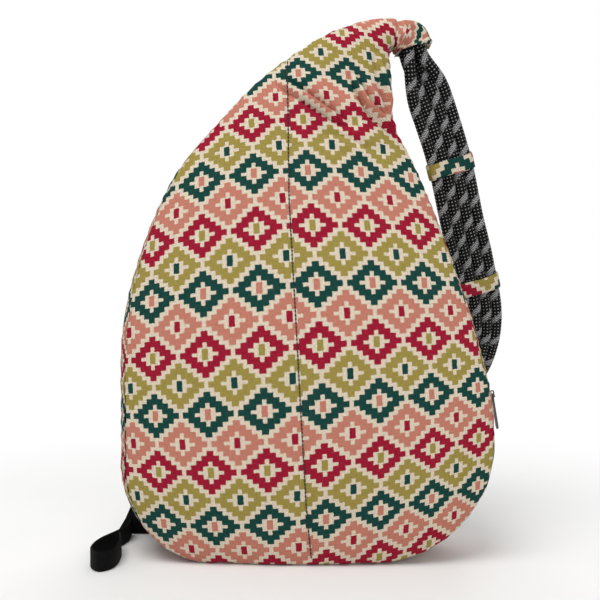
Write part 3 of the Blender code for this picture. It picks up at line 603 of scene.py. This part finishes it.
# Base and lining: a flat canvas base that stands on the floor, and the dark lining packed inside the panels.
# The base is cut from the same print; the lining sags with the panels, just inside them.
def weave_material(name, colour, lighter, pitch, depth, roughness=0.8):
    """Plain woven cloth with its threads at a pitch in metres, measured on the object itself."""
    graph = Graph(name)
    place = graph.coordinates("Object")
    x, y, z = graph.split(place)
    turn = math.tau / pitch
    waves = [graph.wave(graph.times(axis, turn)) for axis in (x, y, z)]
    weave = graph.times(graph.plus(waves[0], waves[1]), waves[2])
    fuzz = graph.noise(place, 320.0, 4.0, 0.7)
    # Painted light and random tone: the weave's raised threads are painted lighter and its low places darker,
    # and the fuzz varies the tone at random.
    tone = graph.plus(graph.times(weave, 0.18), graph.times(fuzz, 0.9))
    graph.bump(graph.plus(weave, fuzz), depth, 0.7)
    rough = graph.plus(roughness, graph.times(fuzz, 0.15))
    return graph.finish(graph.mix(tone, (*colour, 1), (*lighter, 1)), rough, Specular_IOR_Level=0.25)


LINING_SLACK = 0.0008
CREASE_ROOM = 1.3
base = copied("base_panel")
layer = base.data.uv_layers.new(name="cloth")
for loop in base.data.loops:
    place = base.data.vertices[loop.vertex_index].co
    layer.data[loop.index].uv = (place.x / UNIT, place.y / UNIT)
dressed(base, "base_panel", canvas)
lining = weave_material("lining_cloth", (0.085, 0.085, 0.095), (0.13, 0.13, 0.14), 0.0009, 0.0002)


def dress_node(node, material):
    """A CAD node that stays as it is takes a material of its own."""
    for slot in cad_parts[node].material_slots:
        slot.material = material


lining_piece = copied("lining_sack")
subdivided(lining_piece, 2)
for vertex in lining_piece.data.vertices:
    vertex.co = settled(vertex.co)
normals = [vertex.normal.copy() for vertex in lining_piece.data.vertices]
for vertex, normal in zip(lining_piece.data.vertices, normals):
    inwards = min(1.0, vertex.co.z / 0.012)
    creased = max(0.0, -normal.y) * CREASE_ROOM * max(0.0, crease_depth(vertex.co.x, vertex.co.z))
    vertex.co -= normal * (LINING_SLACK * inwards + creased)
dressed(lining_piece, "lining_sack", lining)


# Neck sleeve: the end of the neck, gathered round the ropes and sewn; its cloth falls in small pleats.
# It starts inside the neck, turns over the fold and ends in a narrow folded hem.
PIVOT = Vector((0.0675, 0.397))
CREST = Vector((0.0690, 0.4245))
MOUTH_OUTER = Vector((0.0958, 0.4033))
MOUTH_BULGE = Vector((0.0060, 0.0045))
FOLD_RADIUS = 0.0040
NECK_DEPTHS = (0.0185, 0.0130)
NECK_HALVES = (0.0104, 0.0078)
SLEEVE_ROWS = 44
SLEEVE_COLUMNS = 120
PLEATS = 11
PLEAT_DEPTH = 0.0019
TUCK_IN = 0.0018
TUCK_ROWS = 6
HEM_TURN = 6


def neck_point(t, share, grow):
    """A point of the turned neck: t runs 0 at the crest to 1 at the mouth, share 0 to 4 round it."""
    outer = CREST.lerp(MOUTH_OUTER, t) + MOUTH_BULGE * math.sin(math.pi * max(0.0, t))
    inner = PIVOT + (outer - PIVOT).normalized() * FOLD_RADIUS
    depth = NECK_DEPTHS[0] + (NECK_DEPTHS[1] - NECK_DEPTHS[0]) * t
    half = NECK_HALVES[0] + (NECK_HALVES[1] - NECK_HALVES[0]) * t
    centre = (outer + inner) / 2
    reach = (inner - outer).length / 2
    lateral = (inner - outer).normalized()
    side = int(share) % 4
    part = share - int(share)
    if side in (0, 2):
        q = -math.cos(math.pi * part)
        dome = (1 - abs(q) ** 2.4) ** (1 / 1.7)
        y = -(half + (depth - half) * dome)
        across = q * (reach + grow)
        if side == 2:
            y, across = -y, -across
    else:
        y = half * (2 * part - 1)
        across = reach + grow
        if side == 3:
            y, across = -y, -across
    y *= 1 + grow / depth
    place = centre + lateral * across
    return Vector((place.x, y, place.y)), (place - PIVOT).length


def sleeve_rows():
    rows, places = [], []
    stations = [(-0.10 + 0.14 * i / TUCK_ROWS, -TUCK_IN) for i in range(TUCK_ROWS)]
    for i in range(SLEEVE_ROWS):
        t = 0.05 + 0.95 * i / (SLEEVE_ROWS - 1)
        stations.append((t, -TUCK_IN * max(0.0, 1 - t / 0.16)))
    stations += [(1.0 - 0.03 * i, -0.0006 * i - 0.0004) for i in range(1, HEM_TURN)]
    for t, grow in stations:
        row, place_row = [], []
        for column in range(SLEEVE_COLUMNS):
            share = 4 * column / SLEEVE_COLUMNS
            _, reach = neck_point(t, share, grow)
            ease_in = min(1.0, max(0.0, (t - 0.04) / 0.30))
            round_turn = math.tau * column / SLEEVE_COLUMNS
            spot = (math.cos(round_turn) * 1.6, math.sin(round_turn) * 1.6, t)
            phase = PLEATS * round_turn + 2.2 * noise.noise(spot)
            fold = 1 - abs(math.sin(phase / 2)) ** 0.8
            pleat = PLEAT_DEPTH * ease_in * min(1.0, reach / 0.014) * (1 - 2 * fold)
            hem = 0.0013 * swell(t - 0.94, 0.050)
            point, reach = neck_point(t, share, grow + pleat + hem)
            row.append(settled(point))
            place_row.append((t, reach, point.y))
        rows.append(row)
        places.append(place_row)
    return rows, places


def grid_piece(name, rows, uv, wrap=True, capped=False):
    """Quads between rows of points; wrap closes each row, and uv gives the cloth's place."""
    bm = bmesh.new()
    layer = bm.loops.layers.uv.new("cloth")
    grid = [[bm.verts.new(point) for point in row] for row in rows]
    columns = len(rows[0])
    for r in range(len(rows) - 1):
        for c in range(columns if wrap else columns - 1):
            d = (c + 1) % columns
            face = bm.faces.new((grid[r][c], grid[r][d], grid[r + 1][d], grid[r + 1][c]))
            for loop, (i, j) in zip(face.loops, ((r, c), (r, c + 1), (r + 1, c + 1), (r + 1, c))):
                loop[layer].uv = uv(i, j)
    if capped:
        bm.faces.new(grid[0])
        bm.faces.new(grid[-1])
    return new_piece(name, bm)


rows, places = sleeve_rows()
SLEEVE_GIRTH = 0.030


def sleeve_uv(i, j):
    t, reach, y = places[i][j % SLEEVE_COLUMNS]
    return print_place(PIVOT.x + SLEEVE_GIRTH * t, PIVOT.y + reach + 0.5 * (y + NECK_DEPTHS[0]))


sleeve = grid_piece("neck_sleeve_look", rows, sleeve_uv)
dressed(sleeve, "neck_sleeve", canvas)


# Ropes: four braided ropes side by side, black with white dots and grey flecks, sewn in at both ends.
# Each follows the strap from the sleeve down the side and behind the bag; the flecks wind round each rope.
ROPE_DIAMETER = 0.0088
ROPE_PITCH = 0.0095
ROPE_SPREAD_SHARE = 0.13
STRAP_ROUTE = (
    (0.0822, 0.000, 0.4030),
    (0.0870, 0.002, 0.3880),
    (0.0960, 0.008, 0.3690),
    (0.1060, 0.015, 0.3450),
    (0.1175, 0.022, 0.3110),
    (0.1290, 0.033, 0.2660),
    (0.1400, 0.045, 0.2300),
    (0.1495, 0.056, 0.1880),
    (0.1480, 0.066, 0.1540),
    (0.1340, 0.073, 0.1210),
    (0.1050, 0.077, 0.0920),
    (0.0650, 0.078, 0.0690),
    (0.0250, 0.077, 0.0540),
)
ROUTE_STEPS = 24
ROPE_STATIONS = 360
ROPE_SIDES = 32
BRAID_COLUMNS = 10
BRAID_ROW = 0.0029
FLECK_TURN = 0.021
FLECK_SHARE = 0.26
CHEVRON_PITCH = 0.0020
STRAND_PITCH = 0.0008
STRAND_LAY = 0.008
ROPE_FLATNESS = 1.085
BRAID_RELIEF = 0.00022


def smooth_route(points, count):
    """Evenly spaced points on a Catmull-Rom curve through the route's own points."""
    points = [Vector(point) for point in points]
    points = [points[0] * 2 - points[1], *points, points[-1] * 2 - points[-2]]
    dense = []
    for a, b, c, d in zip(points, points[1:], points[2:], points[3:]):
        square = 2 * a - 5 * b + 4 * c - d
        cube = 3 * b - a - 3 * c + d
        for step in range(ROUTE_STEPS):
            t = step / ROUTE_STEPS
            dense.append(0.5 * (2 * b + (c - a) * t + square * t**2 + cube * t**3))
    dense.append(points[-2])
    lengths = [0.0]
    for a, b in zip(dense, dense[1:]):
        lengths.append(lengths[-1] + (b - a).length)
    spaced = []
    index = 0
    for i in range(count):
        target = lengths[-1] * i / (count - 1)
        while index < len(dense) - 2 and lengths[index + 1] < target:
            index += 1
        span = lengths[index + 1] - lengths[index]
        spaced.append(dense[index].lerp(dense[index + 1], min(1.0, (target - lengths[index]) / span)))
    return spaced


def directions(points):
    last = len(points) - 1
    return [(points[min(last, i + 1)] - points[max(0, i - 1)]).normalized() for i in range(last + 1)]


def ease(t):
    return t * t * (3 - 2 * t)


def strap_frames(count):
    """Places along the strap, its direction, the direction across its flat, and outwards from it."""
    spine = smooth_route(STRAP_ROUTE, count)
    frames = []
    for i, (place, way) in enumerate(zip(spine, directions(spine))):
        s = i / (count - 1)
        flat = Vector((1, 0.25, 0)).lerp(Vector((0.35, 0.1, 1)), ease(min(1, max(0, (s - 0.40) / 0.48))))
        across = (flat - way * flat.dot(way)).normalized()
        frames.append((place, way, across, across.cross(way)))
    return frames


def rope_line(index, frames):
    """One rope's centreline: gathered two by two inside the sleeve, then all in one row."""
    line = []
    for i, (place, way, across, out) in enumerate(frames):
        spread = ease(min(1, i / (len(frames) - 1) / ROPE_SPREAD_SHARE)) * math.pi / 2
        row_place = (index - 1.5) * ROPE_PITCH
        gathered = math.copysign(ROPE_PITCH / 2, row_place)
        depth = ROPE_PITCH / 2 * (-1 if index in (0, 3) else 1) * math.cos(spread)
        lateral = gathered + (row_place - gathered) * math.sin(spread)
        line.append(place + across * lateral + out * depth)
    return line


def rope_material(name):
    graph = Graph(name)
    turn, along, _ = graph.split(graph.coordinates("UV"))
    column = graph.times(turn, float(BRAID_COLUMNS))
    row = graph.over(along, BRAID_ROW)
    off_column = graph.minus(graph.math("FRACT", column), 0.5)
    off_row = graph.minus(graph.math("FRACT", row), 0.5)
    across_dot = graph.math("POWER", graph.over(off_column, 0.21), 2.0)
    along_dot = graph.math("POWER", graph.over(off_row, 0.18), 2.0)
    far = graph.plus(across_dot, along_dot)
    dot = graph.math("LESS_THAN", far, 1.0)
    fibres = graph.vector(graph.times(turn, 28.0), graph.times(along, 1000.0), 0.0)
    grain = graph.noise(fibres, 1.3, 3.0, 0.7)
    helix = graph.math("FRACT", graph.plus(turn, graph.over(along, FLECK_TURN)))
    ragged = graph.plus(helix, graph.times(graph.minus(grain, 0.5), 0.42))
    started = graph.math("GREATER_THAN", ragged, 0.0)
    fleck = graph.times(graph.math("LESS_THAN", ragged, FLECK_SHARE), started)
    zigzag = graph.math("PINGPONG", column, 0.5)
    chevron = graph.math("FRACT", graph.plus(graph.over(along, CHEVRON_PITCH), graph.times(zigzag, 1.6)))
    chevron_tone = graph.math("GREATER_THAN", chevron, 0.45)
    black = graph.mix(grain, (0.001, 0.001, 0.0011, 1), (0.006, 0.006, 0.0065, 1))
    white = graph.mix(grain, (0.08, 0.08, 0.078, 1), (0.50, 0.50, 0.48, 1))
    grey = graph.mix(chevron_tone, (0.030, 0.031, 0.033, 1), (0.56, 0.56, 0.57, 1))
    colour = graph.mix(dot, black, white)
    faded = graph.mix(graph.times(grain, 0.7), grey, (0.07, 0.07, 0.073, 1))
    colour = graph.mix(fleck, colour, faded)
    cell = graph.minus(1.0, graph.math("MINIMUM", far, 3.0))
    laid = graph.plus(along, graph.times(turn, STRAND_LAY))
    strands = graph.wave(graph.times(laid, math.tau / STRAND_PITCH))
    height = graph.plus(graph.times(cell, 0.35), graph.times(strands, 0.25))
    graph.bump(graph.plus(height, grain), 0.00035, 0.8)
    rough = graph.plus(0.55, graph.times(grain, 0.3))
    return graph.finish(colour, rough, Specular_IOR_Level=0.10)


braid = rope_material("rope_braid")
frames = strap_frames(ROPE_STATIONS)
rope_pieces = []
for index in range(4):
    line = rope_line(index, frames)
    ways = directions(line)
    distance = [0.0]
    for a, b in zip(line, line[1:]):
        distance.append(distance[-1] + (b - a).length)
    rows = []
    for i, (point, way) in enumerate(zip(line, ways)):
        side = (frames[i][2] - way * frames[i][2].dot(way)).normalized()
        out = side.cross(way)
        row = []
        for k in range(ROPE_SIDES):
            turn = k / ROPE_SIDES
            weave = math.sin(math.tau * (BRAID_COLUMNS / 2 * turn + distance[i] / BRAID_ROW / 2))
            weave *= math.sin(math.tau * (BRAID_COLUMNS / 2 * turn - distance[i] / BRAID_ROW / 2))
            radius = ROPE_DIAMETER / 2 + BRAID_RELIEF * (weave - 0.6)
            angle = math.tau * turn
            row.append(point + (side * math.cos(angle) * ROPE_FLATNESS + out * math.sin(angle)) * radius)
        rows.append(row)
    shift = 0.37 * index

    def rope_uv(i, j):
        return j / ROPE_SIDES + shift, distance[i] + 0.0052 * index

    rope = grid_piece(f"rope_{index + 1}_look", rows, rope_uv, capped=True)
    dressed(rope, f"rope_{index + 1}", braid)
    rope_pieces.append((rope, line, distance[-1]))


# Keepers and end binding: folded strips of the printed canvas, wrapped round the four ropes and sewn.
# The three keepers hold the ropes in one row, and the binding closes their lower ends.
KEEPER_PLACES = (0.235, 0.475, 0.86)
KEEPER_HEIGHT = 0.0125
KEEPER_WALL = 0.0012
KEEPER_CLEARANCE = 0.0007
KEEPER_COLUMNS = 72
KEEPER_ROWS = 9
# Where each keeper's strip was cut: print units across the strip and along it
KEEPER_CUTS = ((1.6, -9.2), (2.0, -16.0), (2.2, 3.0))


def obround_point(turn, half_width, half_thickness):
    """A point of a flat band with round ends, by its share of the way round."""
    straight = 2 * (half_width - half_thickness)
    bend = math.pi * half_thickness
    along = (turn % 1.0) * 2 * (straight + bend)
    flip = 1
    if along >= straight + bend:
        along -= straight + bend
        flip = -1
    if along < straight:
        return flip * (straight / 2 - along), flip * half_thickness
    angle = (along - straight) / half_thickness + math.pi / 2
    return flip * (half_thickness * math.cos(angle) - straight / 2), flip * half_thickness * math.sin(angle)


def keeper_piece(index):
    place, way, across, out = strap_frames(241)[round(KEEPER_PLACES[index] * 240)]
    half_width = ROPE_PITCH * 1.5 + ROPE_DIAMETER / 2 + KEEPER_CLEARANCE
    half_thickness = ROPE_DIAMETER / 2 + KEEPER_CLEARANCE
    girth = 4 * (half_width - half_thickness) + math.tau * half_thickness
    profile = []
    for i in range(KEEPER_ROWS):
        t = i / (KEEPER_ROWS - 1)
        edge = math.sin(math.pi * t)
        profile.append((t, KEEPER_WALL * (0.78 + 0.22 * edge**0.5)))
    inner = [(t, 0.0) for t, _ in reversed(profile)]
    stations = profile + inner + [profile[0]]
    rows = []
    for t, wall in stations:
        row = []
        for k in range(KEEPER_COLUMNS):
            turn = k / KEEPER_COLUMNS
            x, y = obround_point(turn, half_width + wall, half_thickness + wall)
            crinkle = 0.00028 * noise.noise((x * 300, y * 300, t * 3 + index * 7)) * (wall > 0)
            x *= 1 + crinkle / half_width
            y *= 1 + crinkle / half_thickness
            sway = 0.0004 * math.sin(turn * math.tau * 3 + index)
            row.append(place + across * x + out * y + way * ((t - 0.5) * KEEPER_HEIGHT + sway))
        rows.append(row)
    cut_u, cut_v = KEEPER_CUTS[index]

    def keeper_uv(i, j):
        return cut_u + stations[i][0] * KEEPER_HEIGHT / UNIT, cut_v + j / KEEPER_COLUMNS * girth / UNIT

    return grid_piece(f"keeper_{index + 1}_look", rows, keeper_uv)


for index in range(3):
    keeper = keeper_piece(index)
    dressed(keeper, f"keeper_{index + 1}", canvas)
binding = copied("rope_end_binding")
subdivided(binding, 3)
layer = binding.data.uv_layers.new(name="cloth")
for loop in binding.data.loops:
    place = binding.data.vertices[loop.vertex_index].co
    layer.data[loop.index].uv = (place.x / UNIT, -place.z / UNIT)
dressed(binding, "rope_end_binding", canvas)
for number, (rope, line, length) in enumerate(rope_pieces):
    path = line[::6] + [line[-1]]


# Webbing: black ribbed polyester webbing for the strap, the anchor, its tab and the tail with its sewn loop.
# Each is a flat strip with rounded edges, and its UV gives metres across and along it.
WEBBING_THICKNESS = 0.0015
RIB_PITCH = 0.0011
WEBBING_BANDS = 0.0026


def webbing_material(name):
    graph = Graph(name)
    across, along, _ = graph.split(graph.coordinates("UV"))
    herring = graph.math("PINGPONG", graph.over(across, WEBBING_BANDS), 1.0)
    rib = graph.wave(graph.times(graph.plus(graph.over(along, RIB_PITCH), herring), math.tau))
    fibres = graph.vector(graph.times(across, 1500.0), graph.times(along, 1500.0), 0.0)
    fuzz = graph.noise(fibres, 1.4, 3.0, 0.7)
    # Painted light and random tone: the ribs are painted lighter on their crests and darker between them, and
    # the fuzz varies the tone at random.
    tone = graph.plus(graph.times(rib, 0.22), fuzz)
    colour = graph.mix(tone, (0.0008, 0.0008, 0.0009, 1), (0.0055, 0.0055, 0.0060, 1))
    graph.bump(graph.plus(rib, graph.times(fuzz, 0.8)), 0.00022, 0.8)
    rough = graph.plus(0.60, graph.times(fuzz, 0.3))
    return graph.finish(colour, rough, Specular_IOR_Level=0.08)


def strip(name, frames, width, thickness):
    """Webbing along frames; the section is flat with rounded edges."""
    section = []
    for i in range(24):
        x, y = obround_point(i / 24, width / 2, thickness / 2 * 0.999)
        section.append((x, y))
    rows = [[place + across * x + out * y for x, y in section] for place, _, across, out in frames]
    lengths = [0.0]
    for (a, *_), (b, *_) in zip(frames, frames[1:]):
        lengths.append(lengths[-1] + (b - a).length)
    return grid_piece(name, rows, lambda i, j: (section[j % 24][0], lengths[i]), capped=True)


def framed(points, count, flat):
    spine = smooth_route(points, count)
    frames = []
    for place, way in zip(spine, directions(spine)):
        across = (Vector(flat) - way * Vector(flat).dot(way)).normalized()
        frames.append((place, way, across, across.cross(way)))
    return frames


webbing = webbing_material("black_webbing")
LEFT_EDGE = -0.1485
TAIL_HEIGHT = 0.0150
TAIL_ROUTE = (
    (-0.0015, 0.0381),
    (0.0000, 0.0200),
    (-0.0045, 0.0020),
    (-0.0135, -0.0220),
    (-0.0145, -0.0440),
    (-0.0055, -0.0570),
    (0.0035, -0.0470),
    (0.0030, -0.0230),
    (-0.0020, -0.0030),
)
middle = TAIL_HEIGHT / 2 + 0.0002
tail_points = [(LEFT_EDGE + x, y, middle) for x, y in TAIL_ROUTE]
tail = strip("webbing_tail_look", framed(tail_points, 120, (0, 0, 1)), TAIL_HEIGHT, WEBBING_THICKNESS)
dressed(tail, "webbing_tail", webbing)
for node in ("anchor_webbing", "strap_webbing", "anchor_tab"):
    piece = copied(node)
    edge = piece.modifiers.new("Edge", "BEVEL")
    edge.width = 0.0005
    edge.segments = 2
    edge.limit_method = "ANGLE"
    only(piece)
    bpy.ops.object.modifier_apply(modifier=edge.name)
    bpy.ops.object.shade_smooth_by_angle(angle=math.radians(40))
    layer = piece.data.uv_layers.new(name="cloth")
    for loop in piece.data.loops:
        place = piece.data.vertices[loop.vertex_index].co
        layer.data[loop.index].uv = (place.z, place.x)
    if node == "strap_webbing":
        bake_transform(piece)
    dressed(piece, node, webbing, None if node == "strap_webbing" else "bag")


# Buckle: a side-release buckle in moulded black plastic behind the bag, whose plug slides out.
# The webbing runs through its bars and over the plug's ladder.
def plastic_material(name, colour, roughness):
    graph = Graph(name)
    place = graph.coordinates("Object")
    grain = graph.noise(place, 1400.0, 3.0, 0.6)
    rub = graph.noise(place, 90.0, 4.0, 0.65)
    worn = tuple(value * 2.2 + 0.01 for value in colour)
    share = graph.times(graph.math("GREATER_THAN", rub, 0.60), 0.45)
    graph.bump(grain, 0.00006, 0.5)
    rough = graph.plus(roughness, graph.times(grain, 0.18))
    return graph.finish(graph.mix(share, (*colour, 1), (*worn, 1)), rough)


plastic = plastic_material("moulded_black_plastic", (0.014, 0.014, 0.015), 0.36)
for node in ("buckle_socket", "buckle_plug"):
    dress_node(node, plastic)


# Zips: one curved zip in each gusset, a woven tape with a nylon coil sewn on, and a black slider and pull.
# The coil's loops are grooves across the chain, at an even pitch round the zip's own arc; their crests carry
# painted light and their grooves painted shade.
COIL_PITCH = 0.0014
# Each zip's arc: its centre across and up, and its radius
ZIP_ARCS = {"left": ((0.1600, 0.1417), 0.3085), "right": ((-0.7316, -0.0751), 0.9000)}


def coil_material(name, centre, radius):
    graph = Graph(name)
    place = graph.coordinates("Object")
    x, _, z = graph.split(place)
    turn = graph.math("ARCTAN2", graph.minus(z, centre[1]), graph.minus(x, centre[0]))
    loops = graph.wave(graph.times(turn, math.tau * radius / COIL_PITCH))
    grain = graph.noise(place, 1800.0, 2.0)
    # Painted light and shade: the coil's loops are painted lighter on their crests and darker in the grooves
    # between them.
    painted_loop_light = graph.plus(0.5, graph.times(loops, 0.5))
    colour = graph.mix(painted_loop_light, (0.004, 0.004, 0.0045, 1), (0.030, 0.030, 0.032, 1))
    graph.bump(loops, 0.0004, 0.9)
    return graph.finish(colour, graph.plus(0.34, graph.times(grain, 0.2)))


TAPE = weave_material("zip_tape_weave", (0.008, 0.008, 0.009), (0.026, 0.026, 0.028), 0.0007, 0.00018)
ENAMEL = plastic_material("zip_enamel", (0.012, 0.012, 0.013), 0.28)
for side in ("left", "right"):
    dress_node(f"zip_tape_{side}", TAPE)
    dress_node(f"zip_chain_{side}", coil_material(f"zip_coil_{side}", *ZIP_ARCS[side]))
    dress_node(f"zip_slider_{side}", ENAMEL)
    dress_node(f"zip_pull_{side}", ENAMEL)
